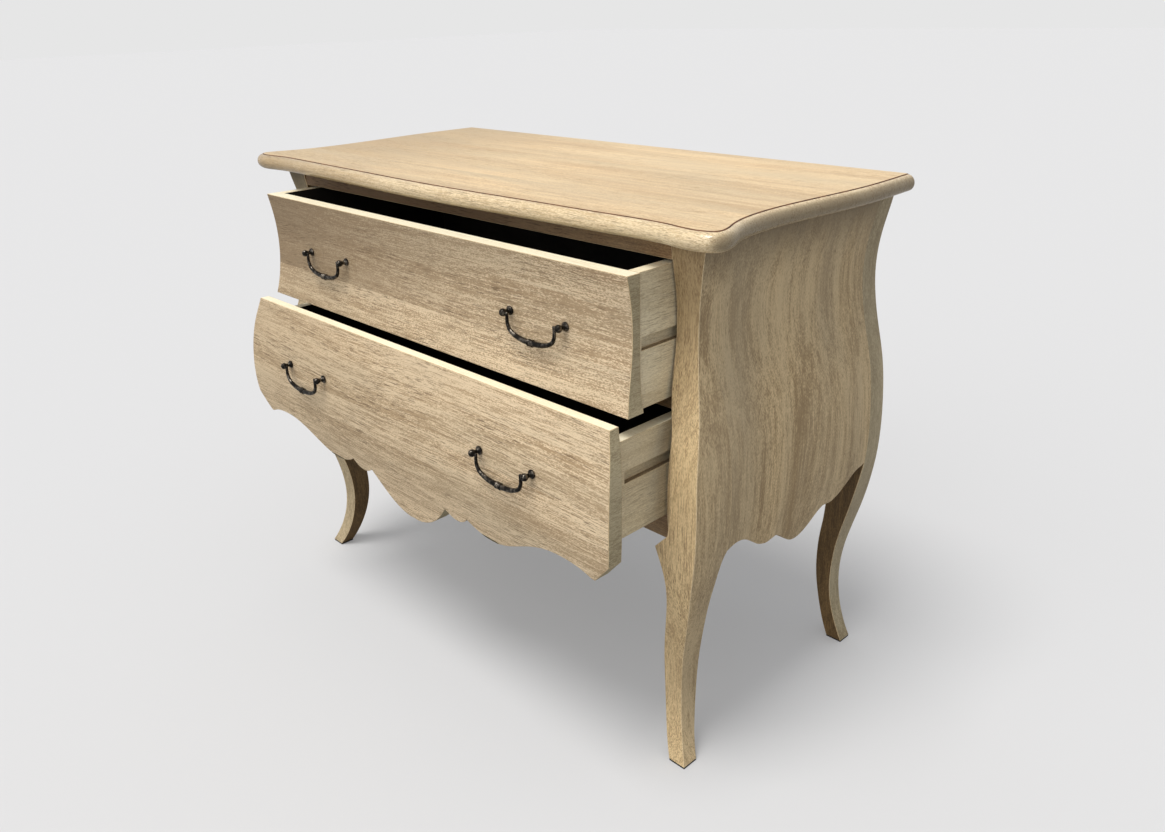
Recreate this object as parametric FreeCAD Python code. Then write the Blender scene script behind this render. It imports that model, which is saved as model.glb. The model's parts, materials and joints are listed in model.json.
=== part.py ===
"""Bombe chest with two drawers, shown with both drawers part open.

Millimetres.  +Z is up, +X is the chest's right side and -Y is its front.  While it is drawn, y = 0 is
near the middle of the case; every piece is moved along Y at the end, so that the origin lies on the floor
in the middle of the space that the whole object takes up.
"""
import FreeCAD, Part
import math
import os

os.makedirs("parts", exist_ok=True)
Vector = FreeCAD.Vector

# ---------------------------------------------------------------- driving sizes
# Heights, from the floor up.
glide_height = 3.0          # black glides under the feet
leg_height = 353.0          # glides to the underside of the bottom rail
bottom_rail_height = 36.0
lower_box_height = 138.0    # sides of the lower drawer
divider_thickness = 25.5
upper_box_height = 175.5    # sides of the upper drawer
top_rail_height = 27.0
top_thickness = 25.0        # whole thickness of the top board
box_over_rail = 6.0         # air under the lower drawer
box_under_divider = 2.5     # air over the lower drawer
box_over_divider = 3.5      # air under the upper drawer
box_under_rail = 5.0        # air over the upper drawer

# Widths and depths.
post_inner = 431.5          # inner faces of the four posts, from the middle of the chest
front_post_back = -155.0    # rear face of the front posts
back_post_front = 193.0     # front face of the back posts
back_post_depth = 37.0
top_overhang_back = 8.0     # top board behind the back posts
panel_thickness = 20.0      # side panel, measured across
open_upper = 80.0           # how far the upper drawer stands open
open_lower = 112.0          # how far the lower drawer stands open

# Rails and back.
rail_depth = 22.0           # top and bottom rail, front to back
divider_depth = 42.0
top_rail_forward = 43.0     # front of each rail, forward of the rear face of the front posts
divider_forward = 16.5
bottom_rail_forward = 38.0
back_rail_depth = 18.0
back_rail_height = 38.0
back_rail_inset = 7.0       # behind the front face of the back posts
back_rail_lift = 8.0        # lower back rail above the underside of the bottom rail
back_panel_thickness = 6.0
tenon_length = 14.0
tenon_shoulder = 5.0        # shoulder round a tenon
divider_shoulder = 2.5      # shoulder at the front of the divider's tenon
glue_room = 0.15            # round tenons, tongues and housings
seat = 0.3                  # air between a piece that is slipped in and what holds it
cleat_width = 22.0
cleat_height = 20.0
glide_inset = 2.0           # glide inside the edges of its foot

# Top board.
field_step = 1.0            # the field stands this much above the rounded edge
rim_land = 0.05             # flat between the upper and the lower round of the edge
saw_over = 24.0             # length that is sawn off behind

# Drawers.
front_gap = 1.75            # upper and lower front, each from the line between them
front_split_up = 0.25       # that line, above the top of the divider
side_play = 1.0             # air at each end of a drawer front
rebate_play = 0.6           # air behind a closed drawer front
upper_front_forward = 19.0  # flat rear face of the upper front, forward of the rear face of the posts
box_play = 3.0              # drawer sides to the inner faces of the posts
side_thickness = 18.0
back_thickness = 14.0
back_inset = 8.0            # drawer back inside the ends of the sides
back_under_sides = 8.0      # top of the drawer back below the top of the sides
box_back_play = 7.0         # ends of the sides to the back posts, drawer closed
bottom_thickness = 6.0
bottom_up = 12.0            # underside of the drawer bottom above the lower edge of the sides
housing = 6.0               # depth of the grooves for the bottom and the back
tongue_width = 9.0          # tongue on the front end of a side
tongue_length = 7.0
tongue_margin = 14.0        # tongue to the upper and lower edge of its side
lower_tongue_forward = 48.0 # root of the lower drawer's tongue, forward of the rear face of the posts
runner_groove = 17.0        # height of the groove that runs on the runner
groove_up = 77.0            # groove above the lower edge of the side
groove_depth = 8.0
groove_stop = 15.0          # stopped front end of the groove, forward of the rear face of the posts
runner_play_top = 0.3       # air over the runner
runner_play_under = 1.0     # air under the runner
runner_play_side = 0.6      # air between the runner and the floor of the groove
runner_play_front = 0.5

# Pulls.
pull_centre = 260.0         # middle of each pull, from the middle of the drawer
pull_half = 54.4            # half the distance between its two posts
pull_reach = 13.0           # centre of the ball from the drawer face
upper_pull_up = 90.0        # pull above the lower edge of the upper front
lower_pull_down = 91.5      # pull below the upper edge of the lower front
ball_radius = 5.5
ball_cuts = 5               # bands of the turned ball
tip_radius = 1.2            # small flat at the tip of the ball
turned_flats = 10           # small turned parts are given this many flats
base_radius = 6.5
base_height = 3.2
neck_radius = 2.9
shank_radius = 2.0
shank_play = 0.3            # shank in the hole of the drawer front
shank_out = 4.0             # end of the shank behind the drawer front
pin_radius = 2.0
pin_play = 0.05
pin_in = 1.0                # the pin ends this far past the centre of the ball
arm_gap = 0.4               # arm to ball
arm_radius = 2.3
bail_drop = 31.5
bail_swell = 4.2
collar_radius = 5.4
collar_width = 4.2
bail_flats = 8

# ---------------------------------------------------------------- levels and places that follow
case_bottom = glide_height + leg_height
rail_top = case_bottom + bottom_rail_height
lower_box = (rail_top + box_over_rail, rail_top + box_over_rail + lower_box_height)
divider = (lower_box[1] + box_under_divider, lower_box[1] + box_under_divider + divider_thickness)
upper_box = (divider[1] + box_over_divider, divider[1] + box_over_divider + upper_box_height)
top_rail_bottom = upper_box[1] + box_under_rail
under_top = top_rail_bottom + top_rail_height
height = under_top + top_thickness
back_plane = back_post_front + back_post_depth
top_back = back_plane + top_overhang_back
bullnose = (top_thickness - field_step) / 2.0
top_rail_front = front_post_back - top_rail_forward
divider_front = front_post_back - divider_forward
bottom_rail_front = front_post_back - bottom_rail_forward
back_rail_front = back_post_front + back_rail_inset
back_rail_back = back_rail_front + back_rail_depth
back_rail_bottom = case_bottom + back_rail_lift
front_split = divider[1] + front_split_up
upper_front = (front_split + front_gap, upper_box[1])
lower_front_top = front_split - front_gap
upper_front_back = front_post_back - upper_front_forward
box_outer = post_inner - box_play
box_inner = box_outer - side_thickness
box_back = back_post_front - box_back_play
groove_front = front_post_back - groove_stop
upper_pull = upper_front[0] + upper_pull_up
lower_pull = lower_front_top - lower_pull_down

# ---------------------------------------------------------------- outlines
# They are drawn for posts, levels and depths at these stations, and are carried along when those move.
drawn_posts = (0.0, 431.5)
drawn_levels = (3.0, 356.0, 564.0, 775.0)
drawn_depths = (-155.0, 193.0)


def carried(value, drawn, real):
    """A drawn place at the real stations: spread between them, at a fixed distance outside them."""
    if value <= drawn[0]:
        return real[0] + value - drawn[0]
    for i in range(1, len(drawn)):
        if value <= drawn[i]:
            share = (value - drawn[i - 1]) / (drawn[i] - drawn[i - 1])
            return real[i - 1] + share * (real[i] - real[i - 1])
    return real[-1] + value - drawn[-1]


def across(x):
    return carried(x, drawn_posts, (0.0, post_inner))


def level(z):
    return carried(z, drawn_levels, (glide_height, case_bottom, divider[1], under_top))


def along(y):
    return carried(y, drawn_depths, (front_post_back, back_post_front))


def from_front(pairs):
    """Drawn (x, z) pairs as points in the plane y = 0."""
    return [Vector(across(x), 0, level(z)) for x, z in pairs]


def from_side(pairs):
    """Drawn (y, z) pairs as points in the plane x = 0."""
    return [Vector(0, along(y), level(z)) for y, z in pairs]


# Outer line of the side, the same at the front and at the back, from the foot up.
side_line = from_front([(482, 3), (464, 45), (452.5, 118), (459, 180), (475.5, 240), (492, 308), (501.5, 385),
                        (501, 445), (493, 522), (476, 592), (467, 662), (472, 714), (481, 752), (486, 775)])
# Outer line of the front, seen from the side, from the foot up; the belly is its fullest point.
front_line = from_side([(-218, 3), (-201, 50), (-191.5, 115), (-197, 185), (-213, 255), (-224.5, 315),
                        (-228, 400), (-226.5, 460), (-220.5, 503), (-204, 563), (-193, 612), (-188, 668),
                        (-191.5, 713), (-198, 750), (-202, 775)])
belly = 6
lower_front_end = 11

# The rebate in each front post follows the swelling ends of the drawer fronts, top to bottom.
rebate_line = from_front([(431.5, 640), (432.4, 604), (436, 571), (446.8, 530), (453.4, 490), (456.6, 440),
                          (456.4, 415), (453.5, 385.5)])
# Point of the ear that carries the lower end of the rebate, then the leg's inner line down to the foot.
leg_inner = from_front([(431.5, 362), (434.5, 354), (439, 342), (445.5, 317), (445.5, 283), (435.5, 236),
                        (424, 186), (419.5, 139), (422.5, 97), (429.5, 60), (440, 28), (453, 3)])
leg_rear = from_side([(-155, 351), (-163, 338), (-169, 308), (-171, 272), (-165, 229), (-156, 172),
                      (-155.5, 129), (-160, 90), (-172, 49), (-183, 20), (-190, 3)])
back_leg_inner = from_front([(431.5, 352), (438, 318), (441, 280), (437, 235), (428, 187), (424, 135),
                             (430, 86), (440, 38), (453, 3)])
back_leg_front = from_side([(193, 358), (187.5, 310), (186.5, 262), (192, 203), (199.5, 150), (200.5, 104),
                            (203, 50), (203.5, 3)])

# Scalloped lower edge of a side panel, from its front corner to its back corner.
panel_rise_front = from_side([(-155, 350.5), (-146, 353.5), (-134, 355), (-120, 352.5), (-104, 343.5),
                              (-85, 330), (-66, 321)])
panel_lobe_front = from_side([(-66, 321), (-55, 319), (-45, 320), (-36, 321.5)])
panel_drop = from_side([(-36, 321.5), (-17, 311.5), (-1, 298.5), (13, 291), (26, 288.5), (39, 291),
                        (53, 298.5), (69, 311.5), (88, 321.5)])
panel_lobe_back = from_side([(88, 321.5), (97, 320), (107, 319), (118, 321)])
panel_rise_back = from_side([(118, 321), (137, 330), (156, 343.5), (172, 352.5), (186, 355), (193, 358.5)])

# Rear face of the lower front, drawer closed, from the top down.
lower_front_rear = from_side([(-188, 562.5), (-197.5, 505), (-204, 430), (-203, 388), (-197.5, 350),
                              (-189, 300), (-183, 262)])
# Below the belly the drawer front runs back a little more than the leg.
apron_face = from_side([(-211, 279), (-219, 336), (-224.5, 368)])
# Scalloped lower edge of the lower front, from its middle to its end.
apron_drop = from_front([(0, 278.5), (33, 283.5), (59, 297), (80, 315), (99.5, 336)])
apron_lobe = from_front([(99.5, 336), (112, 329), (127, 325.5), (142, 329.5), (153.5, 339)])
apron_swell = from_front([(153.5, 339), (178, 328), (212, 323.5), (245, 330), (290, 349.5), (330, 362.5),
                          (362, 365), (395, 361.5), (417, 354)])
apron_tip = from_front([(423.5, 353.5)])[0]

# Quirk line of the top, from the back round the right front corner to the middle of the front.
quirk_line = [Vector(across(x), along(y), 0)
              for x, y in [(498, 238), (503.5, 110), (493, -75), (510, -186), (519.5, -211), (519, -226),
                           (508, -232.5), (460, -230.5), (373, -229), (200, -234), (0, -239.5)]]
arc_tolerance = 0.25        # the smooth lines are made of tangent arcs that keep this close to them


# ---------------------------------------------------------------- helpers
def line(a, b):
    return Part.LineSegment(a, b).toShape()


def curve(points):
    """Smooth line through the points, as a chain of tangent arcs."""
    spline = Part.BSplineCurve()
    spline.interpolate(points)
    return [arc.toShape() for arc in spline.toBiArcs(arc_tolerance)]


def outline(pieces_of_it):
    """Face inside a closed chain of pieces, each a list of points: two make a line, more make a curve."""
    edges = []
    for points in pieces_of_it:
        if len(points) == 2:
            edges.append(line(*points))
        else:
            edges += curve(points)
    return Part.Face(Part.Wire(Part.__sortEdges__(edges)))


def through_y(flat, y0, y1):
    moved = flat.copy()
    moved.translate(Vector(0, y0, 0))
    return moved.extrude(Vector(0, y1 - y0, 0))


def through_x(flat, x0, x1):
    moved = flat.copy()
    moved.translate(Vector(x0, 0, 0))
    return moved.extrude(Vector(x1 - x0, 0, 0))


def block(x0, x1, y0, y1, z0, z1):
    return Part.makeBox(x1 - x0, y1 - y0, z1 - z0, Vector(x0, y0, z0))


def mirrored(shape):
    return shape.mirror(Vector(0, 0, 0), Vector(1, 0, 0))


def mirrored_points(points):
    return [Vector(-p.x, p.y, p.z) for p in points]


def both(points):
    """A line on the right and its mirror image on the left."""
    return [points, mirrored_points(points)]


def moved_points(points, dx, dy):
    return [p + Vector(dx, dy, 0) for p in points]


# Planes that lie clear of the whole chest, where a cutting shape ends.
far_side = post_inner + 250
far_front = front_post_back - 250
far_back = back_plane + 250
far_down = -100.0
far_up = height + 100


# ---------------------------------------------------------------- posts and legs
def post_seen_from_front(inner_line):
    """Outer side line, straight inner face of the post, then the leg's inner line."""
    shoulder = Vector(post_inner, 0, under_top)
    return outline([side_line, [side_line[-1], shoulder], [shoulder, inner_line[0]], inner_line,
                    [inner_line[-1], side_line[0]]])


def front_leg():
    corner = Vector(0, front_post_back, under_top)
    seen_side = outline([front_line, [front_line[-1], corner], [corner, leg_rear[0]], leg_rear,
                         [leg_rear[-1], front_line[0]]])
    leg = through_y(post_seen_from_front(leg_inner), far_front, 0).common(through_x(seen_side, 0, far_side))
    leg = leg.cut(rebate())
    for mortise in mortises("top", "divider", "bottom"):
        leg = leg.cut(mortise)
    return leg


def rebate():
    """The step in a front post that a drawer front closes into, curved in two directions."""
    # Seen from the front it runs along the swelling end of the fronts and back to the point of the ear.
    ear = leg_inner[0]
    run = rebate_line[-1] - ear
    clear = ear - run * (tenon_length / run.x)
    top_clear = Vector(clear.x, 0, rebate_line[0].z)
    region = outline([rebate_line, [rebate_line[-1], clear], [clear, top_clear], [top_clear, rebate_line[0]]])
    # Seen from the side its floor follows the rear faces of the fronts.
    floor = moved_points(lower_front_rear, 0, rebate_play)
    upper_floor = upper_front_back + rebate_play
    steps = [floor[0], Vector(0, upper_floor, floor[0].z), Vector(0, upper_floor, far_up),
             Vector(0, far_front, far_up), Vector(0, far_front, floor[-1].z), floor[-1]]
    depth = outline([floor] + [[steps[i], steps[i + 1]] for i in range(len(steps) - 1)])
    return through_y(region, far_front, 0).common(through_x(depth, 0, far_side))


def back_leg():
    corners = [back_leg_front[0], Vector(0, back_post_front, under_top), Vector(0, back_plane, under_top),
               Vector(0, back_plane, glide_height), back_leg_front[-1]]
    seen_side = outline([back_leg_front] + [[corners[i], corners[i + 1]] for i in range(4)])
    leg = through_y(post_seen_from_front(back_leg_inner), 0, far_back).common(through_x(seen_side, 0, far_side))
    for mortise in mortises("back_top", "back_bottom"):
        leg = leg.cut(mortise)
    return leg


# ---------------------------------------------------------------- rails
# Each rail: front, rear, bottom, top, then the shoulders at the front, rear, bottom and top of its tenon.
rails = {
    "top": (top_rail_front, top_rail_front + rail_depth, top_rail_bottom, under_top, [tenon_shoulder] * 4),
    "divider": (divider_front, divider_front + divider_depth, *divider,
                [divider_shoulder, divider_depth - divider_forward + divider_shoulder, tenon_shoulder,
                 tenon_shoulder]),
    "bottom": (bottom_rail_front, bottom_rail_front + rail_depth, case_bottom, rail_top,
               [tenon_shoulder, tenon_shoulder, tenon_shoulder + 3, tenon_shoulder]),
    "back_top": (back_rail_front, back_rail_back, under_top - back_rail_height, under_top,
                 [tenon_shoulder - 1] * 2 + [tenon_shoulder] * 2),
    "back_bottom": (back_rail_front, back_rail_back, back_rail_bottom, back_rail_bottom + back_rail_height,
                    [tenon_shoulder - 1] * 2 + [tenon_shoulder] * 2),
}


def tenon(name, room):
    """Right-hand tenon of a rail, or its mortise when there is room round it."""
    y0, y1, z0, z1, (front, rear, under, over) = rails[name]
    return block(post_inner - room, post_inner + tenon_length + room, y0 + front - room, y1 - rear + room,
                 z0 + under - room, z1 - over + room)


def mortises(*names):
    return [tenon(name, glue_room) for name in names]


def rail(name):
    """Rail between the posts, with a tenon on each end."""
    y0, y1, z0, z1 = rails[name][:4]
    end = tenon(name, 0.0)
    return block(-post_inner, post_inner, y0, y1, z0, z1).fuse([end, mirrored(end)]).removeSplitter()


# ---------------------------------------------------------------- side panel
def side_panel():
    inner = moved_points(side_line, -panel_thickness, 0)
    section = outline([side_line, [side_line[-1], inner[-1]], inner, [inner[0], side_line[0]]])
    corners = [panel_rise_back[-1], Vector(0, back_post_front, under_top), Vector(0, front_post_back, under_top),
               panel_rise_front[0]]
    shape = outline([panel_rise_front, panel_lobe_front, panel_drop, panel_lobe_back, panel_rise_back]
                    + [[corners[i], corners[i + 1]] for i in range(3)])
    return through_y(section, front_post_back, back_post_front).common(through_x(shape, 0, far_side))


# ---------------------------------------------------------------- top board
def top_board():
    # The board is made too long behind, and is sawn off straight.
    behind = quirk_line[0] + Vector(-1, saw_over, 0)
    half = [behind] + quirk_line
    path = curve(half + mirrored_points(half[-2::-1]))
    back = line(Vector(-behind.x, behind.y, 0), behind)
    field = Part.Face(Part.Wire(Part.__sortEdges__(path + [back])))
    # The round edge stands out from the quirk line by its own radius.
    slab = field.makeOffset2D(bullnose).extrude(Vector(0, 0, 2 * bullnose))
    rims = []
    for edge in slab.Edges:
        box = edge.BoundBox
        if box.ZLength < 0.001 and box.YMin < behind.y:
            rims.append(edge)
    board = slab.makeFillet(bullnose - rim_land, rims).fuse(field.extrude(Vector(0, 0, top_thickness)))
    board.translate(Vector(0, 0, under_top))
    saw = block(-far_side, far_side, top_back, far_back, far_down, far_up)
    return board.cut(saw).removeSplitter()


# ---------------------------------------------------------------- drawer fronts
def front_section(face_points, rear_points):
    """Everything between a front's face and its rear line, both from the bottom up."""
    section = outline([face_points, [face_points[-1], rear_points[-1]], rear_points,
                       [rear_points[0], face_points[0]]])
    return through_x(section, -far_side, far_side)


def upper_front_blank():
    """Front of the upper drawer, closed, before any joints are cut."""
    end = moved_points(rebate_line, -side_play, 0)
    straight = [Vector(end[0].x, 0, under_top), end[0]]
    left, right = mirrored_points([straight[0], end[-1]]), [straight[0], end[-1]]
    chain = both(straight) + both(end) + [[right[0], left[0]], [right[1], left[1]]]
    region = through_y(outline(chain), far_front, 0)
    rear = [Vector(0, upper_front_back, p.z) for p in (front_line[belly], front_line[-1])]
    section = front_section(front_line[belly:], rear)
    return section.common(region).common(block(-far_side, far_side, far_front, 0, *upper_front))


def lower_front_blank():
    """Front of the lower drawer with its apron, closed, before any joints are cut."""
    end = moved_points(rebate_line, -side_play, 0)
    chain = both(end) + both([end[-1], apron_tip]) + both([apron_tip, apron_swell[-1]])
    chain += both(apron_swell) + both(apron_lobe)
    chain.append(mirrored_points(apron_drop[:0:-1]) + apron_drop)
    chain.append([end[0], mirrored_points(end)[0]])
    region = through_y(outline(chain), far_front, 0)
    section = front_section(apron_face + front_line[belly:lower_front_end], lower_front_rear[::-1])
    return section.common(region).common(block(-far_side, far_side, far_front, 0, far_down, lower_front_top))


# ---------------------------------------------------------------- drawer boxes
def tongue(box, root, room):
    """Tongue on the front end of the right side, or its groove in the front when there is room round it."""
    outer = box_outer - (side_thickness - tongue_width) / 2
    return block(outer - tongue_width - room, outer + room, root - tongue_length - room, 0,
                 box[0] + tongue_margin - room, box[1] - tongue_margin + room)


def drawer(blank, rear_line, box, tongue_root):
    """The five wooden pieces of one drawer, closed, as a dictionary."""
    floor0 = box[0] + bottom_up
    floor1 = floor0 + bottom_thickness
    back1 = box_back - back_inset
    back0 = back1 - back_thickness
    groove0 = box[0] + groove_up
    # Right side: starts at the rear face of the front and carries a tongue.
    corners = [rear_line[-1], Vector(0, rear_line[-1].y, far_up), Vector(0, far_back, far_up),
               Vector(0, far_back, far_down), Vector(0, rear_line[0].y, far_down), rear_line[0]]
    behind = outline([rear_line] + [[corners[i], corners[i + 1]] for i in range(5)])
    plank = block(box_inner, box_outer, far_front, box_back, *box)
    side = plank.common(through_x(behind, 0, far_side))
    side = side.fuse(plank.common(tongue(box, tongue_root, 0.0))).removeSplitter()
    side = side.cut(block(box_outer - groove_depth, far_side, groove_front, far_back, groove0,
                          groove0 + runner_groove))
    housed = box_inner + housing + glue_room
    side = side.cut(block(0, housed, far_front, far_back, floor0 - glue_room, floor1 + glue_room))
    side = side.cut(block(0, housed, back0 - glue_room, back1 + glue_room, floor1, far_up))
    # Front: grooves for the bottom and for the tongues of the sides.
    bottom_front = tongue_root - housing
    slot = tongue(box, tongue_root, glue_room)
    front = blank.cut(block(-housed, housed, bottom_front - glue_room, 0, floor0 - glue_room,
                            floor1 + glue_room))
    front = front.cut(slot).cut(mirrored(slot))
    reach = box_inner + housing
    back = block(-reach, reach, back0, back1, floor1 + seat / 3, box[1] - back_under_sides)
    bottom = block(-reach, reach, bottom_front, back1, floor0, floor1).cut([slot, mirrored(slot)])
    return {"front": front, "side_right": side, "side_left": mirrored(side), "back": back, "bottom": bottom}


def runner(box):
    """Right-hand runner between the posts, for one drawer."""
    top = box[0] + groove_up + runner_groove - runner_play_top
    bottom = box[0] + groove_up + runner_play_under
    return block(box_outer - groove_depth + runner_play_side, post_inner, groove_front + runner_play_front,
                 back_rail_front - seat, bottom, top)


# ---------------------------------------------------------------- pulls
def face_and_rear(blank, x, z, radius):
    """Y of a drawer front's face and of its rear, where a disc about the line through (x, z) meets them."""
    depths = []
    for height_on_disc in (z - radius, z, z + radius):
        probe = line(Vector(x, far_front, height_on_disc), Vector(x, 0, height_on_disc))
        depths += [vertex.Point.y for vertex in probe.common(blank).Vertexes]
    return min(depths), max(depths)


def drill_y(x, z, y0, y1, radius):
    return Part.makeCylinder(radius, y1 - y0, Vector(x, y0, z), Vector(0, 1, 0))


def pin(start, end, radius):
    """Small straight pin between two points, with flats."""
    axis = (end - start).normalize()
    return skinned([ring(point, axis, Vector(0, 0, 1), radius, turned_flats) for point in (start, end)])


def ring(centre, axis, rise, radius, flats):
    """Corners of one even section across a bar: its centre, its axis, a direction across it and its radius."""
    across_it = axis.cross(rise)
    corners = []
    for k in range(flats):
        angle = 2 * math.pi * (k + 0.5) / flats
        corners.append(centre + rise * (radius * math.cos(angle)) + across_it * (radius * math.sin(angle)))
    return corners


def skinned(rings):
    """Closed solid with flat faces over a row of rings with equally many corners."""
    faces = []
    for near, far in zip(rings, rings[1:]):
        for k in range(len(near)):
            a, b, c, d = near[k - 1], near[k], far[k], far[k - 1]
            faces.append(Part.Face(Part.makePolygon([a, b, c, a])))
            faces.append(Part.Face(Part.makePolygon([a, c, d, a])))
    for end in (rings[0], rings[-1]):
        faces.append(Part.Face(Part.makePolygon(end + [end[0]])))
    solid = Part.Solid(Part.Shell(faces))
    if solid.Volume < 0:
        solid.reverse()
    return solid


def turned(steps):
    """Small turned part about the line x = z = 0, from (y, radius) steps."""
    return skinned([ring(Vector(0, y, 0), Vector(0, 1, 0), Vector(0, 0, 1), radius, turned_flats)
                    for y, radius in steps])


def pull_post(face_y, rear_y):
    """Turned post on the axis x = z = 0: shank through the drawer front, cone-shaped base, neck and ball."""
    ball = face_y - pull_reach
    steps = [(face_y, base_radius), (face_y - base_height / 2, base_radius),
             (face_y - base_height, base_radius - 1.6), (face_y - base_height - 2, neck_radius)]
    # The ball, from the neck to a small flat at its tip.
    neck_angle = math.pi - math.asin(neck_radius / ball_radius)
    tip_angle = math.asin(tip_radius / ball_radius)
    for k in range(ball_cuts + 1):
        angle = neck_angle + (tip_angle - neck_angle) * k / ball_cuts
        steps.append((ball - ball_radius * math.cos(angle), ball_radius * math.sin(angle)))
    shank = turned([(rear_y + shank_out, shank_radius), (face_y - base_height / 2, shank_radius)])
    return turned(steps).fuse(shank)


def bail():
    """Bail hanging from the axis through the origin: a bar forged to flats that swells to its collar."""
    arm_x = pull_half - ball_radius - arm_gap - arm_radius
    # Right half of the bar: (x, distance below the axis, radius).
    half = [(arm_x, -arm_radius, arm_radius), (arm_x + 0.5, 6, arm_radius), (arm_x, 14, arm_radius + 0.3),
            (arm_x - 4.2, bail_drop * 0.68, 2.9), (arm_x - 14.5, bail_drop * 0.87, 3.4),
            (arm_x - 29, bail_drop * 0.965, 3.9), (0, bail_drop, bail_swell)]
    stations = half + [(-x, down, radius) for x, down, radius in half[-2::-1]]
    centres = [Vector(x, 0, -down) for x, down, radius in stations]
    depth = Vector(0, 1, 0)
    rings = []
    for i, (x, down, radius) in enumerate(stations):
        before = centres[max(i - 1, 0)]
        after = centres[min(i + 1, len(centres) - 1)]
        rings.append(ring(centres[i], (after - before).normalize(), depth, radius, bail_flats))
    additions = [skinned([ring(Vector(x, 0, -bail_drop), Vector(1, 0, 0), depth, collar_radius, turned_flats)
                          for x in (-collar_width / 2, collar_width / 2)])]
    for sign in (1, -1):
        additions.append(pin(Vector(sign * arm_x, 0, 0), Vector(sign * (pull_half + pin_in), 0, 0), pin_radius))
    return skinned(rings).fuse(additions)


def add_pulls(pieces, name, blank, z):
    """Four posts, as one node, and two bails for one drawer; the holes for the shanks go into its front."""
    face_y, rear_y = face_and_rear(blank, pull_centre, z, base_radius)
    ball_y = face_y - pull_reach
    # The flats of the hole keep clear of the corners of the pin as it turns.
    bore_radius = (pin_radius + pin_play) / math.cos(math.pi / turned_flats)
    front = pieces[name + "_front"]
    posts = []
    for side, label in ((-1, "left"), (1, "right")):
        for end in (-1, 1):
            x = side * pull_centre + end * pull_half
            post = pull_post(face_y, rear_y)
            post.translate(Vector(x, 0, z))
            bore = pin(Vector(x + end * (pin_in + seat), ball_y, z),
                       Vector(x - end * (ball_radius + bore_radius), ball_y, z), bore_radius)
            posts.append(post.cut(bore))
            front = front.cut(drill_y(x, z, far_front, 0, shank_radius + shank_play))
        swing = bail()
        swing.translate(Vector(side * pull_centre, ball_y, z))
        pieces[f"{name}_bail_{label}"] = swing
    pieces[name + "_front"] = front
    pieces[name + "_pull_posts"] = Part.makeCompound(posts)


# ---------------------------------------------------------------- build
pieces = {}


def add_pair(name, shape):
    pieces[name + "_right"] = shape
    pieces[name + "_left"] = mirrored(shape)


add_pair("front_leg", front_leg())
add_pair("back_leg", back_leg())
add_pair("side_panel", side_panel())
pieces["top_board"] = top_board()
pieces["front_top_rail"] = rail("top")
pieces["divider_rail"] = rail("divider")
pieces["front_bottom_rail"] = rail("bottom")
pieces["back_top_rail"] = rail("back_top")
pieces["back_bottom_rail"] = rail("back_bottom")
pieces["back_panel"] = block(-post_inner + seat, post_inner - seat, back_rail_back,
                             back_rail_back + back_panel_thickness, back_rail_bottom, under_top)
add_pair("top_cleat", block(post_inner - cleat_width, post_inner, top_rail_front + rail_depth + seat,
                            back_rail_front - seat, under_top - cleat_height, under_top))
add_pair("upper_runner", runner(upper_box))
add_pair("lower_runner", runner(lower_box))

# Glides: pads a little smaller than the feet.
for end_name, foot_front, foot_back in (("front", front_line[0].y, leg_rear[-1].y),
                                        ("back", back_leg_front[-1].y, back_plane)):
    add_pair("foot_glide_" + end_name, block(leg_inner[-1].x + glide_inset, side_line[0].x - glide_inset,
                                             foot_front + glide_inset, foot_back - glide_inset, 0, glide_height))

flat_rear = [Vector(0, upper_front_back, divider[1]), Vector(0, upper_front_back, under_top)]
drawers = {
    "upper_drawer": (upper_front_blank(), flat_rear, upper_box, upper_front_back, upper_pull, open_upper),
    "lower_drawer": (lower_front_blank(), lower_front_rear[::-1], lower_box,
                     front_post_back - lower_tongue_forward, lower_pull, open_lower),
}
for name, (blank, rear_line, box, tongue_root, pull_z, opened) in drawers.items():
    own = {}
    for part_name, shape in drawer(blank, rear_line, box, tongue_root).items():
        own[name + "_" + part_name] = shape
    add_pulls(own, name, blank, pull_z)
    for part_name, shape in own.items():
        # The drawers stand open at rest.
        shape.translate(Vector(0, -opened, 0))
        pieces[part_name] = shape

# The balls of the lower pulls stand out furthest in front, the top board furthest behind.
foremost = pieces["lower_drawer_pull_posts"].BoundBox.YMin
to_origin = -(foremost + top_back) / 2.0
print("height", height, "moved along Y by", round(to_origin, 4), "from", round(foremost, 3), top_back)
for name, shape in pieces.items():
    shape.translate(Vector(0, to_origin, 0))
    solids = shape.Solids
    kept = solids[0] if len(solids) == 1 else shape
    print(name, len(solids), "valid" if kept.isValid() else "NOT VALID", round(kept.Volume / 1000.0, 1), "cm3")
    kept.exportStep(os.path.join("parts", name + ".step"))
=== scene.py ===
# %% [markdown]
# # A bombe chest with two drawers
# A small chest of drawers in limed wood. Its front and its sides swell, its top has a rounded edge, and its
# pulls are black iron bails. The solid shapes come from the CAD frame, and this lesson gives them their
# looks. The shapes could be modelled again from nothing, but the frame already has every board in its
# place, so each board here is a copy of the frame's own, with its edges eased and its finish put on.

import json
import math

import bmesh
import bpy
from mathutils import Matrix, Vector

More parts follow.
